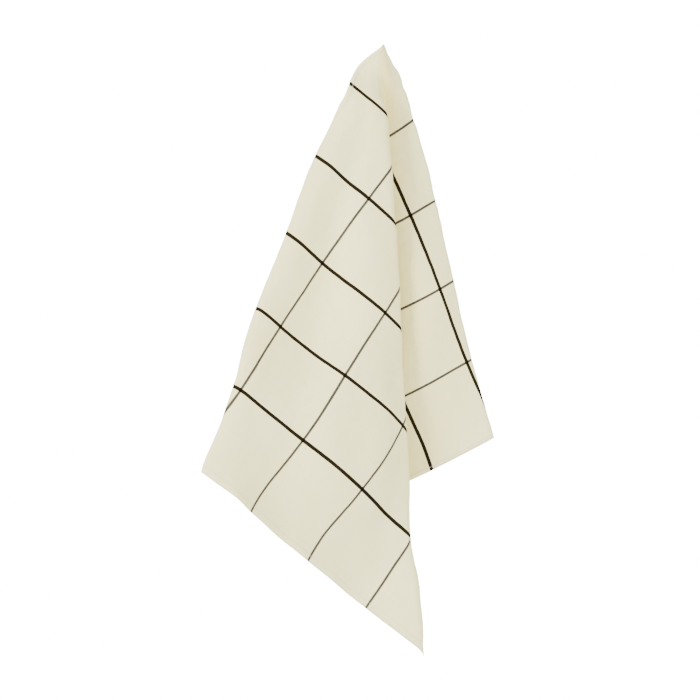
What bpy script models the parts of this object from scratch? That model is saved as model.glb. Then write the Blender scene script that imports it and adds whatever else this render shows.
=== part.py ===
"""A woven towel, 0.50 m by 0.70 m, that hangs by one point of its long edge.

The cloth falls from the hang point in straight lines, so every fold runs down and out
from it. A place on the cloth is told by its distance from the hang point and by its
angle there: 0 degrees follows the long edge down to the front hem, 90 degrees crosses
the cloth, and 180 degrees follows the long edge up to the far hem. One table says where
each fold lies and how round it is, and the other which way each panel between two folds
heads, seen from above. Units are metres and degrees, +Z is up and -Y is the front.
"""

import bisect
import math

import bmesh
import bpy
import numpy as np

# The flat cloth
CLOTH_WIDTH = 0.50
CLOTH_LENGTH = 0.70
CLOTH_THICKNESS = 0.0012

# The hang point, measured along the long edge from the front hem. The fold lines meet
# a little beyond the edge, because the edge bunches there.
HANG_ALONG_EDGE = 0.562
HANG_BEYOND_EDGE = 0.005

# The angle at which the gathered edge is highest: that place is the frame's origin
TOP_ANGLE = 100.0

# Distances from the hang point for which the two fold tables give their columns
STATIONS = (0.008, 0.03, 0.07, 0.12, 0.30, 0.48, 0.65)

# Each fold line: name, its angle at each station, the radius of its bend, and the
# widest that the bend spreads, in degrees
FOLDS = (
    ("left fold", (1.5, 1, 1, 4.5, 10, 12, 12.5), 0.005, 40.0),
    ("cheek line", (15, 15, 14, 13.5, 12, 12, 16), None, 10.0),
    ("dip line", (22, 22, 22, 24, 24.5, 25, 23), None, 9.0),
    ("middle line", (29, 29, 28.5, 28, 33, 27, 33.5), None, 9.0),
    ("shoulder line", (35, 35, 34.5, 35.5, 37, 37, 34), None, 6.0),
    ("lip line", (39.5, 39.5, 39.5, 39.5, 38, 39.5, 36.5), None, 3.5),
    ("front fold", (44, 44, 42, 44, 43.5, 42, 42), 0.011, 12.0),
    ("inner fold", (56, 56.5, 57.5, 56, 56, 55.5, 56.5), 0.006, 12.0),
    ("side line", (69, 69, 66.5, 65.5, 72.5, 69.5, 69), None, 12.0),
    ("side fold", (98, 97, 86.5, 84, 82.5, 82, 81), 0.006, 26.0),
    ("back fold", (124, 124, 120, 118, 118, 118, 118), 0.006, 16.0),
    ("back tuck", (150, 150, 150, 150, 150, 150, 150), 0.006, 16.0),
)

# Each panel: name, and its heading at each station as one goes along the section.
# 0 heads right, 90 towards the front, 180 left and -90 towards the back.
PANELS = (
    ("edge strip", (90, 170, 168, 164, 152, 146, 140)),
    ("cheek", (10, 10, -2, 13, 24, 15, 15)),
    ("dip", (5, 4, -12, -20, -35, -25, -50)),
    ("middle", (-1, -4, -7, 0, 20, 15, -35)),
    ("right third", (-7, -10, -28, -15, -25, -25, -35)),
    ("shoulder", (-11, -13, -40, -20, -27, -55, -25)),
    ("lip", (-14, -17, -37, -22, -35, -45, -10)),
    ("pleat back", (-20, -22, -84, -153, -172, -170, -170)),
    ("side inner", (-28, -28, -16, -2, 9, 7, 6)),
    ("side outer", (-53, -50, -35, -17, -33, -23, 0)),
    ("first back", (-145, -196, -190, -187, -187, -187, -187)),
    ("second back", (-40, -14, -12, -12, -12, -12, -12)),
    ("third back", (-150, -187, -187, -187, -187, -187, -187)),
)

# The line at HELD_ANGLE places each section: distance from the hang point, how far the
# line swings to the right of plumb, and how far it leans to the front
HELD_ANGLE = 43.0
HELD_LINE = (
    (0.00, -11.0, 3.0),
    (0.03, -10.0, 3.0),
    (0.06, -2.0, 4.0),
    (0.09, 4.5, 3.0),
    (0.14, 4.5, 3.0),
    (0.22, 4.5, 1.0),
    (0.35, 4.0, -2.0),
    (0.48, 3.0, -2.0),
    (0.60, 3.0, -2.5),
    (0.68, 3.5, -3.0),
    (0.76, 3.5, -3.0),
)

# The mesh: rows down the cloth and how much a metre of it crowds them to the top, and
# the columns across each bend and across each stretch of cloth between two bends
ROWS = 20
ROW_CROWDING = 1.6
COLUMNS_IN_BEND = 6
COLUMNS_IN_STRETCH = (3, 16, 3, 7, 5, 4, 4)
NARROWEST_COLUMN = 0.6

# Nearer to the hang point than this the columns end at the edge one by one; farther
# down the first and the last column run along it
EDGE_GATHERED = 0.020

# The ladder of sections from which the places are read
SECTION_STEP = 0.125
LADDER = np.concatenate((np.arange(0.002, 0.10, 0.004), np.arange(0.10, 0.80, 0.01)))

CLOTH_COLOUR = (0.80, 0.77, 0.68, 1.0)
CLOTH_ROUGHNESS = 0.9
SMALLEST_GAP = 0.0001


def clear_scene():
    """Start from an empty scene."""
    for thing in list(bpy.data.objects):
        bpy.data.objects.remove(thing, do_unlink=True)


def ease(part):
    """Go smoothly from 0 to 1 as part does, and stay level outside."""
    part = np.clip(part, 0.0, 1.0)
    return part * part * (3.0 - 2.0 * part)


def through(places, values, at):
    """Read a smooth curve through the values, which never overshoots them."""
    places = np.asarray(places, float)
    values = np.asarray(values, float)
    rise = np.diff(values) / np.diff(places)
    slope = np.zeros(len(values))
    for k in range(1, len(values) - 1):
        if rise[k] * rise[k - 1] > 0.0:
            slope[k] = 2.0 * rise[k] * rise[k - 1] / (rise[k] + rise[k - 1])
    at = min(max(at, places[0]), places[-1])
    k = min(max(bisect.bisect_left(places, at) - 1, 0), len(places) - 2)
    gap = places[k + 1] - places[k]
    t = (at - places[k]) / gap
    return (
        (1.0 + 2.0 * t) * (1.0 - t) ** 2 * values[k]
        + t * (1.0 - t) ** 2 * gap * slope[k]
        + t * t * (3.0 - 2.0 * t) * values[k + 1]
        + t * t * (t - 1.0) * gap * slope[k + 1]
    )


def bend_width(turn, radius, widest, distance):
    """Degrees of cloth that a bend takes up at a distance from the hang point."""
    if radius is None:
        return widest
    return min(math.degrees(radius * math.radians(abs(turn)) / distance), widest) + 1e-6


def folds_at(distance):
    """The angle, turn and width of every fold at a distance from the hang point."""
    heads = [through(STATIONS, heading, distance) for _, heading in PANELS]
    found = []
    for k, (_, angles, radius, widest) in enumerate(FOLDS):
        turn = heads[k + 1] - heads[k]
        width = bend_width(turn, radius, widest, distance)
        found.append((through(STATIONS, angles, distance), turn, width))
    return heads[0], found


def section(angles, distance):
    """Swing and lean of the cloth at every angle, one distance from the hang point."""
    first, folds = folds_at(distance)
    heading = np.full_like(angles, first)
    for middle, turn, width in folds:
        heading += turn * ease((angles - middle) / width + 0.5)
    heading = np.radians((heading[1:] + heading[:-1]) / 2.0)
    step = np.diff(angles)
    swing = np.concatenate(((0.0,), np.cumsum(np.cos(heading) * step)))
    lean = np.concatenate(((0.0,), np.cumsum(np.sin(heading) * step)))
    rungs, swings, leans = zip(*HELD_LINE)
    swing += through(rungs, swings, distance) - np.interp(HELD_ANGLE, angles, swing)
    lean += through(rungs, leans, distance) - np.interp(HELD_ANGLE, angles, lean)
    return swing, lean


def between(values, position):
    """Split a fractional position in a list of values into its rung and its part."""
    rung = min(max(bisect.bisect_right(values, position) - 1, 0), len(values) - 2)
    part = (position - values[rung]) / (values[rung + 1] - values[rung])
    return rung, min(max(part, 0.0), 1.0)


class Drape:
    """The hanging cloth, from which the place of any of its points is read."""

    def __init__(self):
        self.angles = np.arange(0.0, 180.0 + SECTION_STEP, SECTION_STEP)
        self.ladder = list(LADDER)
        sections = [section(self.angles, distance) for distance in self.ladder]
        self.paths = np.array(sections)

    def point(self, distance, angle):
        """The place in the air of the cloth at this distance and angle."""
        rung, up = between(self.ladder, distance)
        spot, along = between(self.angles, angle)
        near = self.paths[rung : rung + 2, :, spot : spot + 2]
        near = near[0] * (1.0 - up) + near[1] * up
        swing, lean = np.radians(near[:, 0] * (1.0 - along) + near[:, 1] * along)
        tilt = max(math.hypot(swing, lean), 1e-9)
        out = distance * math.sin(tilt) / tilt
        return (out * swing, -out * lean, -distance * math.cos(tilt))


def edge_angle(across, along):
    """The angle at the hang point of a place on the flat cloth."""
    return math.degrees(math.atan2(across, along))


def reach(angle):
    """How far the cloth goes from the hang point along an angle."""
    sine = math.sin(math.radians(angle))
    cosine = math.cos(math.radians(angle))
    reaches = [(CLOTH_WIDTH + HANG_BEYOND_EDGE) / sine]
    if cosine > 1e-6:
        reaches.append(HANG_ALONG_EDGE / cosine)
    if cosine < -1e-6:
        reaches.append((HANG_ALONG_EDGE - CLOTH_LENGTH) / cosine)
    return min(reaches)


def start(angle):
    """How far along an angle the cloth begins, at its hung long edge."""
    return HANG_BEYOND_EDGE / math.sin(math.radians(angle))


def rails(distance):
    """The angles of all the columns of the mesh, a distance from the hang point."""
    edge = math.degrees(math.asin(HANG_BEYOND_EDGE / max(distance, EDGE_GATHERED)))
    _, folds = folds_at(distance)
    bends = [fold for fold, row in zip(folds, FOLDS) if row[2] is not None]
    columns = [edge]
    for (middle, _, width), count in zip(bends, COLUMNS_IN_STRETCH):
        low = max(middle - width / 2.0, columns[-1] + count * NARROWEST_COLUMN)
        high = max(middle + width / 2.0, low + COLUMNS_IN_BEND * NARROWEST_COLUMN)
        columns.extend(np.linspace(columns[-1], low, count + 1)[1:])
        columns.extend(np.linspace(low, high, COLUMNS_IN_BEND + 1)[1:])
    last = COLUMNS_IN_STRETCH[-1]
    columns.extend(np.linspace(columns[-1], 180.0 - edge, last + 1)[1:])
    return columns


def rail_end(column, limit, guess):
    """Follow a column to where it crosses a border: its distance and angle there."""
    distance = guess
    for _ in range(16):
        distance = 0.5 * (distance + limit(rails(distance)[column]))
    return distance, rails(distance)[column]


def take_corner(ends, angle):
    """Lay the end of the nearest column into the corner of the cloth at this angle."""
    nearest = min(range(len(ends)), key=lambda column: abs(ends[column][1] - angle))
    ends[nearest] = (reach(angle), angle)


def build_sheet(drape):
    """The cloth's middle surface, as rows and columns that follow its folds."""
    columns = len(rails(0.3))
    tops = [rail_end(column, start, 0.01) for column in range(columns)]
    bottoms = [rail_end(column, reach, 0.5) for column in range(columns)]
    across = CLOTH_WIDTH + HANG_BEYOND_EDGE
    take_corner(bottoms, edge_angle(across, HANG_ALONG_EDGE))
    take_corner(bottoms, edge_angle(across, HANG_ALONG_EDGE - CLOTH_LENGTH))

    hang_point = drape.point(start(TOP_ANGLE), TOP_ANGLE)
    mesh = bmesh.new()
    bmesh.ops.create_grid(mesh, x_segments=columns - 1, y_segments=ROWS - 1, size=0.5)
    for vert in mesh.verts:
        column = round((vert.co.x + 0.5) * (columns - 1))
        row = round((0.5 - vert.co.y) * (ROWS - 1))
        top, bottom = tops[column], bottoms[column]
        crowding = 1.0 + ROW_CROWDING * (bottom[0] - top[0])
        down = (row / (ROWS - 1)) ** crowding
        distance = top[0] + (bottom[0] - top[0]) * down
        angle = bottom[1]
        if row < ROWS - 1:
            angle = rails(distance)[column]
        vert.co = drape.point(distance, angle)
    bmesh.ops.translate(mesh, verts=mesh.verts, vec=[-side for side in hang_point])
    bmesh.ops.remove_doubles(mesh, verts=mesh.verts, dist=SMALLEST_GAP)
    bmesh.ops.recalc_face_normals(mesh, faces=mesh.faces)
    return mesh


def cloth_material():
    """Off-white woven cotton."""
    material = bpy.data.materials.new("cream_cotton")
    material.use_nodes = True
    shader = material.node_tree.nodes["Principled BSDF"]
    shader.inputs["Base Color"].default_value = CLOTH_COLOUR
    shader.inputs["Roughness"].default_value = CLOTH_ROUGHNESS
    shader.inputs["Metallic"].default_value = 0.0
    return material


def build_towel():
    """One solid: the sheet, given the thickness of the cloth."""
    clear_scene()
    collection = bpy.data.collections.new("hanging_towel")
    bpy.context.scene.collection.children.link(collection)

    sheet = build_sheet(Drape())
    data = bpy.data.meshes.new("towel")
    sheet.to_mesh(data)
    sheet.free()
    data.shade_smooth()
    data.materials.append(cloth_material())

    towel = bpy.data.objects.new("towel", data)
    collection.objects.link(towel)
    thicken = towel.modifiers.new("cloth thickness", "SOLIDIFY")
    thicken.thickness = CLOTH_THICKNESS
    thicken.offset = 0.0
    thicken.use_rim = True


build_towel()
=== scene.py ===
import math

import bmesh
import bpy
import numpy as np
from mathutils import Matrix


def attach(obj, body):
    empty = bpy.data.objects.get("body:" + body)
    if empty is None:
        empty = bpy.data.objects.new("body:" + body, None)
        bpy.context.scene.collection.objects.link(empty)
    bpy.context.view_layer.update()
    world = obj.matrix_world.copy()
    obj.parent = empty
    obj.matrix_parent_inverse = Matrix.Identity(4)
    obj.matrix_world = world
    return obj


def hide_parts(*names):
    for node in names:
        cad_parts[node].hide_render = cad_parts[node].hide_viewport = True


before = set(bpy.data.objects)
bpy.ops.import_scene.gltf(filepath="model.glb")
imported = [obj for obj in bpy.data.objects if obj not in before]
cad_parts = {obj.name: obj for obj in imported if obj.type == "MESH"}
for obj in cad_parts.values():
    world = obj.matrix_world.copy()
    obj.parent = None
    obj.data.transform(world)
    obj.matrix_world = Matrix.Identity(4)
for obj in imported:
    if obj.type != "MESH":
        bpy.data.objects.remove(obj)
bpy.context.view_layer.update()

# A woven check towel that hangs by one point of its long edge, dressed for a picture.

# Towel cloth
# One piece of off-white cotton in plain weave, cut to 0.50 m by 0.70 m and hemmed. It is
# held up by one point of a long edge, so it falls from there in folds that run down and
# out, with one corner lowest. A place on it is told by distance and angle at that point.

CLOTH_WIDTH = 0.50
CLOTH_LENGTH = 0.70
CLOTH_THICKNESS = 0.0009
HANG_ALONG_EDGE = 0.562
HANG_BEYOND_EDGE = 0.005
TOP_ANGLE = 100.0

STATIONS = (0.008, 0.03, 0.07, 0.12, 0.30, 0.48, 0.65)

# Each fold line: its angle at each station, its bend's radius, its widest bend in degrees
FOLDS = {
    "left fold": ((1.5, 1, 1, 4.5, 10, 12, 12.5), 0.005, 40.0),
    "cheek line": ((15, 15, 14, 13.5, 12, 12, 16), None, 10.0),
    "dip line": ((22, 22, 22, 24, 24.5, 25, 23), None, 9.0),
    "middle line": ((29, 29, 28.5, 28, 33, 27, 33.5), None, 9.0),
    "shoulder line": ((35, 35, 34.5, 35.5, 37, 37, 34), None, 6.0),
    "lip line": ((39.5, 39.5, 39.5, 39.5, 38, 39.5, 36.5), None, 3.5),
    "front fold": ((44, 44, 42, 44, 43.5, 42, 42), 0.011, 12.0),
    "inner fold": ((56, 56.5, 57.5, 56, 56, 55.5, 56.5), 0.006, 12.0),
    "side line": ((69, 69, 66.5, 65.5, 72.5, 69.5, 69), None, 12.0),
    "side fold": ((98, 97, 86.5, 84, 82.5, 82, 81), 0.006, 26.0),
    "back fold": ((124, 124, 120, 118, 118, 118, 118), 0.006, 16.0),
    "back tuck": ((150, 150, 150, 150, 150, 150, 150), 0.006, 16.0),
}

# Each panel between two folds: the way it heads at each station, seen from above
PANELS = {
    "edge strip": (90, 170, 168, 164, 152, 146, 140),
    "cheek": (10, 10, -2, 13, 24, 15, 15),
    "dip": (5, 4, -12, -20, -35, -25, -50),
    "middle": (-1, -4, -7, 0, 20, 15, -35),
    "right third": (-7, -10, -28, -15, -25, -25, -35),
    "shoulder": (-11, -13, -40, -20, -27, -55, -25),
    "lip": (-14, -17, -37, -22, -35, -45, -10),
    "pleat back": (-20, -22, -84, -153, -172, -170, -170),
    "side inner": (-28, -28, -16, -2, 9, 7, 6),
    "side outer": (-53, -50, -35, -17, -33, -23, 0),
    "first back": (-145, -196, -190, -187, -187, -187, -187),
    "second back": (-40, -14, -12, -12, -12, -12, -12),
    "third back": (-150, -187, -187, -187, -187, -187, -187),
}

# The line at HELD_ANGLE places each section: distance, swing to the right, lean forward
HELD_ANGLE = 43.0
HELD_LINE = (
    (0.00, -11.0, 3.0),
    (0.03, -10.0, 3.0),
    (0.06, -2.0, 4.0),
    (0.09, 4.5, 3.0),
    (0.14, 4.5, 3.0),
    (0.22, 4.5, 1.0),
    (0.35, 4.0, -2.0),
    (0.48, 3.0, -2.0),
    (0.60, 3.0, -2.5),
    (0.68, 3.5, -3.0),
    (0.76, 3.5, -3.0),
)


def ease(part):
    """Go smoothly from 0 to 1 as part does, and stay level outside."""
    part = np.clip(part, 0.0, 1.0)
    return part * part * (3.0 - 2.0 * part)


def through(places, values, at):
    """Read a smooth curve through the values, which never overshoots them."""
    places, values = np.asarray(places, float), np.asarray(values, float)
    rise = np.diff(values) / np.diff(places)
    slope = np.zeros(len(values))
    for k in range(1, len(values) - 1):
        if rise[k] * rise[k - 1] > 0.0:
            slope[k] = 2.0 * rise[k] * rise[k - 1] / (rise[k] + rise[k - 1])
    at = np.clip(at, places[0], places[-1])
    k = np.clip(np.searchsorted(places, at) - 1, 0, len(places) - 2)
    gap = places[k + 1] - places[k]
    t = (at - places[k]) / gap
    return (
        (1.0 + 2.0 * t) * (1.0 - t) ** 2 * values[k]
        + t * (1.0 - t) ** 2 * gap * slope[k]
        + t * t * (3.0 - 2.0 * t) * values[k + 1]
        + t * t * (t - 1.0) * gap * slope[k + 1]
    )


# Every section of the hanging cloth, from the hang point outwards
rungs = np.concatenate((np.arange(0.002, 0.10, 0.002), np.arange(0.10, 0.80, 0.005)))
sweep = np.linspace(0.0, 180.0, 1441)
heads = [through(STATIONS, heading, rungs) for heading in PANELS.values()]
heading = np.repeat(heads[0][:, None], len(sweep), axis=1)
bends = {}
for k, (name, (angles, radius, widest)) in enumerate(FOLDS.items()):
    turn = heads[k + 1] - heads[k]
    middle = through(STATIONS, angles, rungs)
    width = np.full_like(rungs, widest)
    if radius is not None:
        spread = np.degrees(radius * np.radians(np.abs(turn)) / rungs)
        width = np.minimum(spread, widest) + 1e-6
        bends[name] = (middle, width)
    heading += turn[:, None] * ease((sweep - middle[:, None]) / width[:, None] + 0.5)
heading = np.radians((heading[:, 1:] + heading[:, :-1]) / 2.0)
held = np.array(HELD_LINE).T
paths = []
for travelled, kept in ((np.cos(heading), held[1]), (np.sin(heading), held[2])):
    path = np.zeros((len(rungs), len(sweep)))
    path[:, 1:] = np.cumsum(travelled * np.diff(sweep), axis=1)
    at_held = np.array([np.interp(HELD_ANGLE, sweep, row) for row in path])
    paths.append(path + (through(held[0], kept, rungs) - at_held)[:, None])


def smooth_place(distance, angle):
    """Where the cloth of the main folds is, at these distances and angles."""
    low = np.clip(np.searchsorted(rungs, distance) - 1, 0, len(rungs) - 2)
    up = np.clip((distance - rungs[low]) / (rungs[low + 1] - rungs[low]), 0.0, 1.0)
    spot = np.clip(angle / 180.0 * (len(sweep) - 1), 0.0, len(sweep) - 1.001)
    left = spot.astype(int)
    along = spot - left
    swing, lean = (
        np.radians(
            (1 - up) * ((1 - along) * path[low, left] + along * path[low, left + 1])
            + up * ((1 - along) * path[low + 1, left] + along * path[low + 1, left + 1])
        )
        for path in paths
    )
    tilt = np.maximum(np.hypot(swing, lean), 1e-9)
    out = distance * np.sin(tilt) / tilt
    return np.stack((out * swing, -out * lean, -distance * np.cos(tilt)), axis=-1)


def polar(across, along):
    """Distance and angle at the hang point of places on the flat cloth."""
    sideways = CLOTH_WIDTH + HANG_BEYOND_EDGE - across
    down = HANG_ALONG_EDGE - along
    return np.hypot(sideways, down), np.degrees(np.arctan2(sideways, down))


top = np.array([TOP_ANGLE])
hang_place = smooth_place(HANG_BEYOND_EDGE / np.sin(np.radians(top)), top)[0]

# Creases that were pressed or pulled into the cloth: where each starts and ends on the
# flat cloth, how wide it is and how high it stands, all in metres
CREASES = (
    ((0.462, 0.300), (0.372, 0.020), 0.020, -0.0030),
    ((0.430, 0.160), (0.400, 0.010), 0.014, 0.0022),
    ((0.335, 0.230), (0.250, 0.010), 0.028, -0.0026),
    ((0.200, 0.130), (0.105, 0.020), 0.026, -0.0030),
    ((0.140, 0.170), (0.060, 0.050), 0.016, 0.0020),
    ((0.430, 0.420), (0.395, 0.330), 0.014, -0.0016),
    ((0.355, 0.345), (0.315, 0.225), 0.012, 0.0014),
    ((0.470, 0.500), (0.425, 0.400), 0.010, 0.0013),
    ((0.250, 0.290), (0.235, 0.210), 0.010, 0.0013),
    ((0.120, 0.330), (0.060, 0.230), 0.018, 0.0016),
    ((0.300, 0.470), (0.220, 0.420), 0.014, -0.0014),
    ((0.180, 0.480), (0.060, 0.440), 0.022, 0.0016),
    ((0.240, 0.590), (0.060, 0.610), 0.024, -0.0020),
    ((0.400, 0.640), (0.300, 0.680), 0.014, 0.0014),
)

# Waves all over the cloth: how many, the fewest and the most in a metre, and their height
RUMPLES = (
    (14, 9.0, 20.0, 0.00012),
    (18, 40.0, 70.0, 0.00004),
)
rng = np.random.default_rng(11)
rumple_waves = []
for count, fewest, most, height in RUMPLES:
    for turn in rng.uniform(0.0, math.pi, count):
        waves = rng.uniform(fewest, most)
        phase = rng.uniform(0.0, 2.0 * math.pi)
        rumple_waves.append((waves * math.cos(turn), waves * math.sin(turn), phase, height))

# The hems wave: how high, and how far the waves reach into the cloth
END_WAVE, END_WAVE_REACH = 0.0016, 0.022
SIDE_WAVE, SIDE_WAVE_REACH = 0.0011, 0.016

# The creases and waves fade out where the cloth is gathered at the hang point
SMOOTH_UNTIL, FADE_OVER = 0.006, 0.030


def relief(across, along):
    """How far the creased cloth stands out from its main folds."""
    high = np.zeros_like(across)
    for (u0, v0), (u1, v1), wide, tall in CREASES:
        length = math.hypot(u1 - u0, v1 - v0)
        du, dv = (u1 - u0) / length, (v1 - v0) / length
        run = (across - u0) * du + (along - v0) * dv
        off = (across - u0) * dv - (along - v0) * du
        off = off + 0.25 * wide * np.sin(run / length * 7.0 + u0 * 40.0)
        ends = ease(run / (0.35 * length)) * ease((length - run) / (0.35 * length))
        high += tall * ends * np.exp(-((off / wide) ** 2))
    for du, dv, phase, height in rumple_waves:
        high += height * np.sin(2.0 * math.pi * (across * du + along * dv) + phase)
    end = np.minimum(along, CLOTH_LENGTH - along)
    side = np.minimum(across, CLOTH_WIDTH - across)
    wave = END_WAVE * np.sin(across * 78.0 + 1.1) * np.sin(across * 31.0 + 0.4)
    high += wave * np.exp(-((end / END_WAVE_REACH) ** 2))
    wave = SIDE_WAVE * np.sin(along * 61.0 + 0.7)
    high += wave * np.exp(-((side / SIDE_WAVE_REACH) ** 2))
    distance, _ = polar(across, along)
    return high * ease((distance - SMOOTH_UNTIL) / FADE_OVER)


NEARBY = 0.0004


def cloth_place(across, along, lift=0.0):
    """Where places on the flat cloth hang, and which way the cloth faces there."""
    right = smooth_place(*polar(across + NEARBY, along))
    left = smooth_place(*polar(across - NEARBY, along))
    upper = smooth_place(*polar(across, along + NEARBY))
    lower = smooth_place(*polar(across, along - NEARBY))
    face = np.cross(right - left, upper - lower)
    face /= np.maximum(np.linalg.norm(face, axis=-1, keepdims=True), 1e-12)
    middle = smooth_place(*polar(across, along))
    lift = (relief(across, along) + lift)[..., None]
    return middle + face * lift - hang_place, face


# Columns of the mesh follow the folds, and rows go down the cloth
ROWS = 182
COLUMNS_IN_BEND = 13
COLUMNS_IN_STRETCH = (6, 78, 9, 30, 22, 15, 12)
NARROWEST_COLUMN = 0.18
EDGE_GATHERED = 0.020
edge = np.degrees(np.arcsin(HANG_BEYOND_EDGE / np.maximum(rungs, EDGE_GATHERED)))
rails = [edge]
for (middle, width), count in zip(bends.values(), COLUMNS_IN_STRETCH):
    low = np.maximum(middle - width / 2.0, rails[-1] + count * NARROWEST_COLUMN)
    high = np.maximum(middle + width / 2.0, low + COLUMNS_IN_BEND * NARROWEST_COLUMN)
    before = rails[-1]
    rails.extend(before + (low - before) * k / count for k in range(1, count + 1))
    across_bend = range(1, COLUMNS_IN_BEND + 1)
    rails.extend(low + (high - low) * k / COLUMNS_IN_BEND for k in across_bend)
last, before = COLUMNS_IN_STRETCH[-1], rails[-1]
rails.extend(before + (180.0 - edge - before) * k / last for k in range(1, last + 1))
rails = np.array(rails)
columns = len(rails)


def rail_angle(column, distance):
    """The angle of a column at a distance from the hang point."""
    return np.interp(distance, rungs, rails[column])


grid_distance = np.zeros((columns, ROWS))
grid_angle = np.zeros((columns, ROWS))
for column in range(columns):
    begin, end = 0.01, 0.5
    for _ in range(20):
        angle = math.radians(rail_angle(column, begin))
        begin = 0.5 * (begin + HANG_BEYOND_EDGE / math.sin(angle))
        angle = math.radians(rail_angle(column, end))
        reach = (CLOTH_WIDTH + HANG_BEYOND_EDGE) / math.sin(angle)
        if math.cos(angle) > 1e-6:
            reach = min(reach, HANG_ALONG_EDGE / math.cos(angle))
        if math.cos(angle) < -1e-6:
            reach = min(reach, (HANG_ALONG_EDGE - CLOTH_LENGTH) / math.cos(angle))
        end = 0.5 * (end + reach)
    crowding = 1.0 + 1.2 * (end - begin)
    down = np.linspace(0.0, 1.0, ROWS) ** crowding
    grid_distance[column] = begin + (end - begin) * down
    grid_angle[column] = rail_angle(column, grid_distance[column])
for corner in (HANG_ALONG_EDGE, HANG_ALONG_EDGE - CLOTH_LENGTH):
    sideways = CLOTH_WIDTH + HANG_BEYOND_EDGE
    corner_angle = math.degrees(math.atan2(sideways, corner))
    nearest = int(np.argmin(np.abs(grid_angle[:, -1] - corner_angle)))
    grid_distance[nearest, -1] = math.hypot(sideways, corner)
    grid_angle[nearest, -1] = corner_angle
grid_across = CLOTH_WIDTH + HANG_BEYOND_EDGE - grid_distance * np.sin(np.radians(grid_angle))
grid_along = HANG_ALONG_EDGE - grid_distance * np.cos(np.radians(grid_angle))
grid_place, _ = cloth_place(grid_across, grid_along)

sheet_mesh = bmesh.new()
bmesh.ops.create_grid(sheet_mesh, x_segments=columns - 1, y_segments=ROWS - 1, size=0.5)
uv_layer = sheet_mesh.loops.layers.uv.new("cloth")
cell = {}
for vert in sheet_mesh.verts:
    column = round((vert.co.x + 0.5) * (columns - 1))
    row = round((0.5 - vert.co.y) * (ROWS - 1))
    cell[vert.index] = (column, row)
for vert in sheet_mesh.verts:
    vert.co = grid_place[cell[vert.index]]
for face in sheet_mesh.faces:
    for loop in face.loops:
        spot = cell[loop.vert.index]
        loop[uv_layer].uv = (grid_across[spot], grid_along[spot])
bmesh.ops.recalc_face_normals(sheet_mesh, faces=sheet_mesh.faces)
cloth_data = bpy.data.meshes.new("towel_cloth")
sheet_mesh.to_mesh(cloth_data)
sheet_mesh.free()
cloth_data.shade_smooth()
cloth = bpy.data.objects.new("towel_cloth", cloth_data)
bpy.context.scene.collection.objects.link(cloth)
thicken = cloth.modifiers.new("cloth thickness", "SOLIDIFY")
thicken.thickness = CLOTH_THICKNESS
thicken.offset = 0.0

# Cotton in plain weave, with the check woven in: thick dark lines across the towel and
# thin ones along it, the yarns a little uneven, and a turned hem on all four sides
THREAD = 0.00085
THICK_LINE_FIRST = 0.108
THICK_LINE_GAP = 0.0968
THICK_LINE_WIDTH = 0.0045
THIN_LINE_GAP = 0.1
THIN_LINE_WIDTH = 0.0031
LINE_BORDER = 0.0003
HEM_WIDTH = 0.009
SIDE_HEM_WIDTH = 0.006
HEM_BORDER = 0.0006
STITCH_INSET = 0.0012
CREAM = (0.91, 0.84, 0.42, 1.0)
WARM_CREAM = (0.91, 0.80, 0.35, 1.0)
# The next colour is painted shade, for the pleat beside the front fold
PAINTED_PLEAT_SHADE = (0.90, 0.76, 0.28, 1.0)
DARK_YARN = (0.0040, 0.0018, 0.0010, 1.0)
THIN_YARN = (0.012, 0.012, 0.020, 1.0)


class Wire:
    """One socket of a material's nodes, which Python's own arithmetic continues."""

    def __init__(self, tree, socket):
        self.tree = tree
        self.socket = socket

    def node(self, kind, settings, sockets, out=0):
        """Any node: its type, its settings, and the values or links of its sockets."""
        made = self.tree.nodes.new(kind)
        for name, value in settings.items():
            setattr(made, name, value)
        for key, value in sockets.items():
            if isinstance(value, Wire):
                self.tree.links.new(value.socket, made.inputs[key])
            else:
                made.inputs[key].default_value = value
        return Wire(self.tree, made.outputs[out])

    def math(self, operation, *terms):
        return self.node("ShaderNodeMath", {"operation": operation}, dict(enumerate(terms)))

    def __add__(self, other):
        return self.math("ADD", self, other)

    def __sub__(self, other):
        return self.math("SUBTRACT", self, other)

    def __mul__(self, other):
        return self.math("MULTIPLY", self, other)

    def __truediv__(self, other):
        return self.math("DIVIDE", self, other)

    def __radd__(self, other):
        return self.math("ADD", other, self)

    def __rsub__(self, other):
        return self.math("SUBTRACT", other, self)

    def __rmul__(self, other):
        return self.math("MULTIPLY", other, self)

    def __neg__(self):
        return self.math("MULTIPLY", self, -1.0)

    def __abs__(self):
        return self.math("ABSOLUTE", self)

    def noise(self, x, y, z, detail=2.0):
        """Soft noise at a place, from 0 to 1."""
        place = self.node("ShaderNodeCombineXYZ", {}, {0: x, 1: y, 2: z})
        sockets = {"Vector": place, "Scale": 1.0, "Detail": detail, "Roughness": 0.55}
        return self.node("ShaderNodeTexNoise", {}, sockets)

    def step(self, start, end):
        """Go smoothly from 0 to 1 as this goes from start to end."""
        settings = {"interpolation_type": "SMOOTHSTEP"}
        return self.node("ShaderNodeMapRange", settings, {0: self, 1: start, 2: end})

    def tint(self, factor, colour, other):
        """Go from one colour to another by a factor."""
        sockets = {0: factor, 6: colour, 7: other}
        return self.node("ShaderNodeMix", {"data_type": "RGBA"}, sockets, out=2)


def new_material(name):
    """A material with its shader, and a wire from which its nodes are made."""
    material = bpy.data.materials.new(name)
    material.use_nodes = True
    tree = material.node_tree
    return material, tree.nodes["Principled BSDF"], Wire(tree, None)


cotton, shader, wire = new_material("woven_cotton")
uv = wire.node("ShaderNodeUVMap", {"uv_map": "cloth"}, {})
across = wire.node("ShaderNodeSeparateXYZ", {}, {0: uv}, out=0)
along = wire.node("ShaderNodeSeparateXYZ", {}, {0: uv}, out=1)

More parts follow.
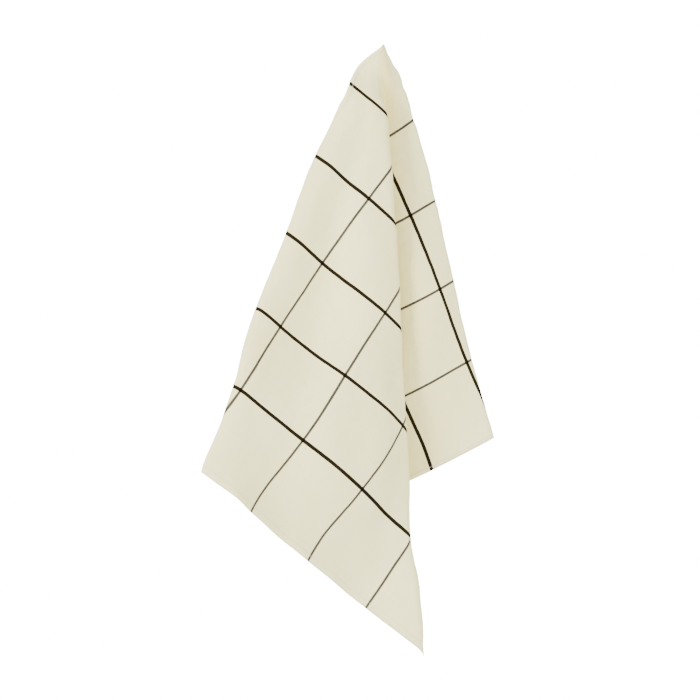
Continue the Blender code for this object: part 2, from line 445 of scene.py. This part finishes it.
# Yarns over and under each other
warp = (across * (math.pi / THREAD)).math("SINE", across * (math.pi / THREAD))
weft = (along * (math.pi / THREAD)).math("SINE", along * (math.pi / THREAD))
crossing = warp * weft
bulge = abs(crossing).math("SQRT", abs(crossing))
warp_on_top = crossing.step(-0.08, 0.08)
warp_slub = wire.noise(across * 900.0, along * 22.0, 1.0)
weft_slub = wire.noise(across * 22.0, along * 900.0, 5.0)
slub = warp_slub * warp_on_top + weft_slub * (1.0 - warp_on_top)

# The check
sway = (wire.noise(across * 45.0, along * 45.0, 9.0) - 0.5) * 0.0006
fray = (slub - 0.5) * 0.0007
thick_place = (along - THICK_LINE_FIRST + sway) / THICK_LINE_GAP
thick_off = abs(thick_place - thick_place.math("ROUND", thick_place)) * THICK_LINE_GAP
thick_line = 1.0 - (thick_off + fray).step(
    THICK_LINE_WIDTH / 2.0 - LINE_BORDER, THICK_LINE_WIDTH / 2.0 + LINE_BORDER
)
thick_line = thick_line * along.step(0.06, 0.07) * (1.0 - along.step(0.64, 0.65))
thin_place = (across + sway) / THIN_LINE_GAP
thin_off = abs(thin_place - thin_place.math("ROUND", thin_place)) * THIN_LINE_GAP
thin_line = 1.0 - (thin_off + fray).step(
    THIN_LINE_WIDTH / 2.0 - LINE_BORDER, THIN_LINE_WIDTH / 2.0 + LINE_BORDER
)
thin_line = thin_line * across.step(0.05, 0.06) * (1.0 - across.step(0.44, 0.45))

# The turned hem's inner edge, a low step all the way round
from_end = along.math("MINIMUM", along, CLOTH_LENGTH - along)
from_side = across.math("MINIMUM", across, CLOTH_WIDTH - across)
hem_sway = (wire.noise(across * 60.0, along * 60.0, 3.0) - 0.5) * 0.0012
in_end_hem = 1.0 - (from_end + hem_sway).step(
    HEM_WIDTH - HEM_BORDER, HEM_WIDTH + HEM_BORDER
)
in_side_hem = 1.0 - (from_side + hem_sway).step(
    SIDE_HEM_WIDTH - HEM_BORDER, SIDE_HEM_WIDTH + HEM_BORDER
)
in_hem = in_end_hem.math("MAXIMUM", in_end_hem, in_side_hem)
hem_line = in_hem * (1.0 - in_hem) * 4.0

# The stitches draw the hem down in a groove, and pucker it a little between them
end_row = HEM_WIDTH - STITCH_INSET
side_row = SIDE_HEM_WIDTH - STITCH_INSET
end_groove = 1.0 - abs(from_end - end_row).step(0.0002, 0.0011)
side_groove = 1.0 - abs(from_side - side_row).step(0.0002, 0.0011)
groove = end_groove.math("MAXIMUM", end_groove, side_groove)
end_pucker = 1.0 - abs(from_end - HEM_WIDTH * 0.6).step(0.0, HEM_WIDTH * 0.6)
side_pucker = 1.0 - abs(from_side - SIDE_HEM_WIDTH * 0.6).step(0.0, SIDE_HEM_WIDTH * 0.6)
end_waves = wire.noise(across * 210.0, along * 30.0, 6.0) - 0.5
side_waves = wire.noise(across * 30.0, along * 210.0, 8.0) - 0.5
pucker = end_pucker * end_waves + side_pucker * side_waves

# Colour
patch = wire.noise(across * 14.0, along * 14.0, 2.0, detail=3.0)
colour = wire.tint(patch.step(0.35, 0.75) * 0.5, CREAM, WARM_CREAM)

# A deeper, warmer cream beside the front fold, in the pleat: painted shade that stands for
# the shade and warm bounced light there
down = HANG_ALONG_EDGE - along
angle = down.math("ARCTAN2", CLOTH_WIDTH + HANG_BEYOND_EDGE - across, down)
painted_pleat_shade_mask = angle.step(math.radians(47.0), math.radians(53.0))
painted_pleat_shade_mask = painted_pleat_shade_mask * (1.0 - angle.step(math.radians(62.0), math.radians(78.0)))
colour = wire.tint(painted_pleat_shade_mask * (0.55 + patch * 0.5), colour, PAINTED_PLEAT_SHADE)
# Uneven yarns vary the tone, and painted shade darkens the hollows between the yarns, the
# hem's step and the stitch groove
yarn_tone_and_painted_shade = 0.97 + slub * 0.13 - (1.0 - bulge) * 0.11 - hem_line * 0.07 - groove * 0.07
yarn_tone_and_painted_shade_colour = wire.node("ShaderNodeCombineColor", {}, {0: yarn_tone_and_painted_shade, 1: yarn_tone_and_painted_shade, 2: yarn_tone_and_painted_shade})
colour = wire.node(
    "ShaderNodeMix",
    {"data_type": "RGBA", "blend_type": "MULTIPLY"},
    {0: 1.0, 6: colour, 7: yarn_tone_and_painted_shade_colour},
    out=2,
)
worn_thin = thin_line * (0.95 + (slub - 0.5) * 0.16)
worn_thick = thick_line * (0.992 + (slub - 0.5) * 0.016)
colour = wire.tint(worn_thin, colour, THIN_YARN)
colour = wire.tint(worn_thick, colour, DARK_YARN)
cotton.node_tree.links.new(colour.socket, shader.inputs["Base Color"])
rough = 0.88 + (slub - 0.5) * 0.12 - thick_line * 0.05
cotton.node_tree.links.new(rough.socket, shader.inputs["Roughness"])
shader.inputs["Metallic"].default_value = 0.0
shader.inputs["Specular IOR Level"].default_value = 0.03

# Relief too fine for the mesh: soft crumples, the hem's step and the weave, in metres
crumple = wire.noise(across * 55.0, along * 55.0, 7.0, detail=4.0)
crease = abs(wire.noise(across * 24.0, along * 24.0, 4.0, detail=2.0) - 0.5)
fine = (
    (crumple - 0.5) * 0.0011
    + crease.step(0.0, 0.05) * 0.00012
    + in_hem * 0.0004
    - groove * 0.00022
    + pucker * 0.00045
    + bulge * 0.00020
    + (slub - 0.5) * 0.00016
)
bump = wire.node(
    "ShaderNodeBump", {}, {"Height": fine, "Distance": 1.0, "Strength": 1.0}
)
cotton.node_tree.links.new(bump.socket, shader.inputs["Normal"])
cloth_data.materials.append(cotton)

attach(cloth, "root")
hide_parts("towel")

# Hem stitches
# A row of cotton lockstitches that holds the turned hem down on all four sides. They are
# machine-sewn, 2.4 mm long, in thread of about the cloth's own colour, and half sunk in it.
STITCH_PITCH = 0.0032
STITCH_LENGTH = 0.0024
STITCH_WIDTH = 0.0006
STITCH_LIFT = 0.00003
SEAM_STEP = 0.0016
UNSEWN_NEAR_HANG_POINT = 0.02
far_side = CLOTH_WIDTH - side_row
far_end = CLOTH_LENGTH - end_row
seams = (
    ((side_row, end_row), (far_side, end_row)),
    ((far_side, end_row), (far_side, far_end)),
    ((far_side, far_end), (side_row, far_end)),
    ((side_row, far_end), (side_row, end_row)),
)
seam_mesh = bmesh.new()
facing_layer = seam_mesh.verts.layers.float_vector.new("facing")
for side in (1.0, -1.0):
    for (u0, v0), (u1, v1) in seams:
        count = int(math.hypot(u1 - u0, v1 - v0) / SEAM_STEP)
        part = np.linspace(0.0, 1.0, count)
        seam_across, seam_along = u0 + (u1 - u0) * part, v0 + (v1 - v0) * part
        lift = side * (CLOTH_THICKNESS / 2.0 + STITCH_LIFT)
        points, facing = cloth_place(seam_across, seam_along, lift)
        distance, _ = polar(seam_across, seam_along)
        before = None
        for point, up, far in zip(points, facing, distance):
            if far < UNSEWN_NEAR_HANG_POINT:
                before = None
                continue
            vert = seam_mesh.verts.new(point)
            vert[facing_layer] = up * side
            if before is not None:
                seam_mesh.edges.new((before, vert))
            before = vert
seam_data = bpy.data.meshes.new("hem_stitches")
seam_mesh.to_mesh(seam_data)
seam_mesh.free()
seam = bpy.data.objects.new("hem_stitches", seam_data)
bpy.context.scene.collection.objects.link(seam)

thread_material, thread_shader, thread = new_material("hem_thread")
spot = thread.node("ShaderNodeTexCoord", {}, {}, out=3)
twist = thread.node("ShaderNodeTexNoise", {}, {"Vector": spot, "Scale": 900.0})
thread_colour = thread.tint(twist, (0.74, 0.70, 0.58, 1.0), (0.86, 0.83, 0.74, 1.0))
thread_material.node_tree.links.new(
    thread_colour.socket, thread_shader.inputs["Base Color"]
)
thread_shader.inputs["Roughness"].default_value = 0.8

stitching = bpy.data.node_groups.new("stitching", "GeometryNodeTree")
for name, kind, direction in (
    ("Geometry", "NodeSocketGeometry", "INPUT"),
    ("Pitch", "NodeSocketFloat", "INPUT"),
    ("Length", "NodeSocketFloat", "INPUT"),
    ("Width", "NodeSocketFloat", "INPUT"),
    ("Thread", "NodeSocketMaterial", "INPUT"),
    ("Geometry", "NodeSocketGeometry", "OUTPUT"),
):
    stitching.interface.new_socket(name=name, in_out=direction, socket_type=kind)
given = stitching.nodes.new("NodeGroupInput")
result = stitching.nodes.new("NodeGroupOutput")


def stitch_node(kind, settings, sockets):
    """A node of the stitching tree, with its settings and its sockets' values or links."""
    made = stitching.nodes.new(kind)
    for name, value in settings.items():
        setattr(made, name, value)
    for key, value in sockets.items():
        if isinstance(value, bpy.types.NodeSocket):
            stitching.links.new(value, made.inputs[key])
        else:
            made.inputs[key].default_value = value
    return made


line = stitch_node("GeometryNodeMeshToCurve", {}, {0: given.outputs["Geometry"]})
spaced = stitch_node(
    "GeometryNodeResampleCurve",
    {"mode": "LENGTH"},
    {"Curve": line.outputs[0], "Length": given.outputs["Pitch"]},
)
facing = stitch_node(
    "GeometryNodeInputNamedAttribute", {"data_type": "FLOAT_VECTOR"}, {"Name": "facing"}
)
tangent = stitch_node("GeometryNodeInputTangent", {}, {})
lying = stitch_node(
    "FunctionNodeAxesToRotation",
    {"primary_axis": "Z", "secondary_axis": "X"},
    {0: facing.outputs["Attribute"], 1: tangent.outputs["Tangent"]},
)
bead = stitch_node(
    "GeometryNodeMeshUVSphere", {}, {"Segments": 6, "Rings": 4, "Radius": 0.5}
)
size = stitch_node(
    "ShaderNodeCombineXYZ",
    {},
    {0: given.outputs["Length"], 1: given.outputs["Width"], 2: given.outputs["Width"]},
)
sewn = stitch_node(
    "GeometryNodeInstanceOnPoints",
    {},
    {
        "Points": spaced.outputs[0],
        "Instance": bead.outputs[0],
        "Rotation": lying.outputs[0],
        "Scale": size.outputs[0],
    },
)
whole = stitch_node("GeometryNodeRealizeInstances", {}, {0: sewn.outputs[0]})
rounded = stitch_node("GeometryNodeSetShadeSmooth", {}, {0: whole.outputs[0]})
coloured = stitch_node(
    "GeometryNodeSetMaterial",
    {},
    {"Geometry": rounded.outputs[0], "Material": given.outputs["Thread"]},
)
stitching.links.new(coloured.outputs[0], result.inputs["Geometry"])

sewing = seam.modifiers.new("stitching", "NODES")
sewing.node_group = stitching
named = {item.name: item.identifier for item in stitching.interface.items_tree}
sewing[named["Pitch"]] = STITCH_PITCH
sewing[named["Length"]] = STITCH_LENGTH
sewing[named["Width"]] = STITCH_WIDTH
sewing[named["Thread"]] = thread_material
bpy.context.view_layer.update()
shown = bpy.context.evaluated_depsgraph_get()
stitches_data = bpy.data.meshes.new_from_object(seam.evaluated_get(shown))
seam.modifiers.remove(sewing)
seam.data = stitches_data
stitches = seam

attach(stitches, "root")

# Floor
# A pale round studio floor, well under the towel, which hangs clear of it.
FLOOR_LEVEL = -1.15
FLOOR_RADIUS = 2.4
floor_mesh = bmesh.new()
bmesh.ops.create_circle(floor_mesh, cap_ends=True, segments=96, radius=FLOOR_RADIUS)
bmesh.ops.translate(floor_mesh, verts=floor_mesh.verts, vec=(0.0, 0.0, FLOOR_LEVEL))
floor_data = bpy.data.meshes.new("studio_floor")
floor_mesh.to_mesh(floor_data)
floor_mesh.free()
floor = bpy.data.objects.new("studio_floor", floor_data)
bpy.context.scene.collection.objects.link(floor)
pale_paint, pale_shader, _ = new_material("pale_floor")
pale_shader.inputs["Base Color"].default_value = (0.90, 0.90, 0.90, 1.0)
pale_shader.inputs["Roughness"].default_value = 0.9
floor_data.materials.append(pale_paint)

# Lights
# A soft key from the upper left, a weaker soft fill from the right and a faint light from
# behind, as in a studio with white walls.


def soft_light(name, place, aim, size, power):
    """A square area light that looks at a point."""
    data = bpy.data.lights.new(name, "AREA")
    data.shape = "SQUARE"
    data.size = size
    data.energy = power
    lamp = bpy.data.objects.new(name, data)
    bpy.context.scene.collection.objects.link(lamp)
    lamp.location = place
    away = [place[k] - aim[k] for k in range(3)]
    reach = math.sqrt(sum(side * side for side in away))
    lamp.rotation_euler = (
        math.acos(away[2] / reach),
        0.0,
        math.atan2(away[1], away[0]) + math.pi / 2.0,
    )


soft_light("key", (-2.6, -2.6, 0.9), (0.0, 0.0, -0.4), 0.9, 370.0)
soft_light("fill", (3.1, -2.1, 0.0), (0.0, 0.0, -0.4), 1.2, 182.0)
soft_light("back", (0.6, 2.2, 1.4), (0.0, 0.0, -0.4), 1.8, 60.0)

# The room's soft light, and the white that shows behind the towel
world = bpy.data.worlds.new("studio")
bpy.context.scene.world = world
world.use_nodes = True
room = Wire(world.node_tree, None)
seen = room.node("ShaderNodeLightPath", {}, {}, out="Is Camera Ray")
sky = world.node_tree.nodes["Background"]
sky.inputs["Color"].default_value = (1.0, 1.0, 1.0, 1.0)
world.node_tree.links.new((seen * 18.0 + 0.9).socket, sky.inputs["Strength"])

# Camera
# A long lens, level and straight on, 4 m in front of the towel.
camera_data = bpy.data.cameras.new("camera")
camera_data.sensor_width = 36.0
camera_data.lens = 168.4
camera = bpy.data.objects.new("camera", camera_data)
bpy.context.scene.collection.objects.link(camera)
camera.location = (-0.0379 - hang_place[0], -4.0 - hang_place[1], -0.3767 - hang_place[2])
camera.rotation_euler = (math.pi / 2.0, 0.0, 0.0)
bpy.context.scene.camera = camera
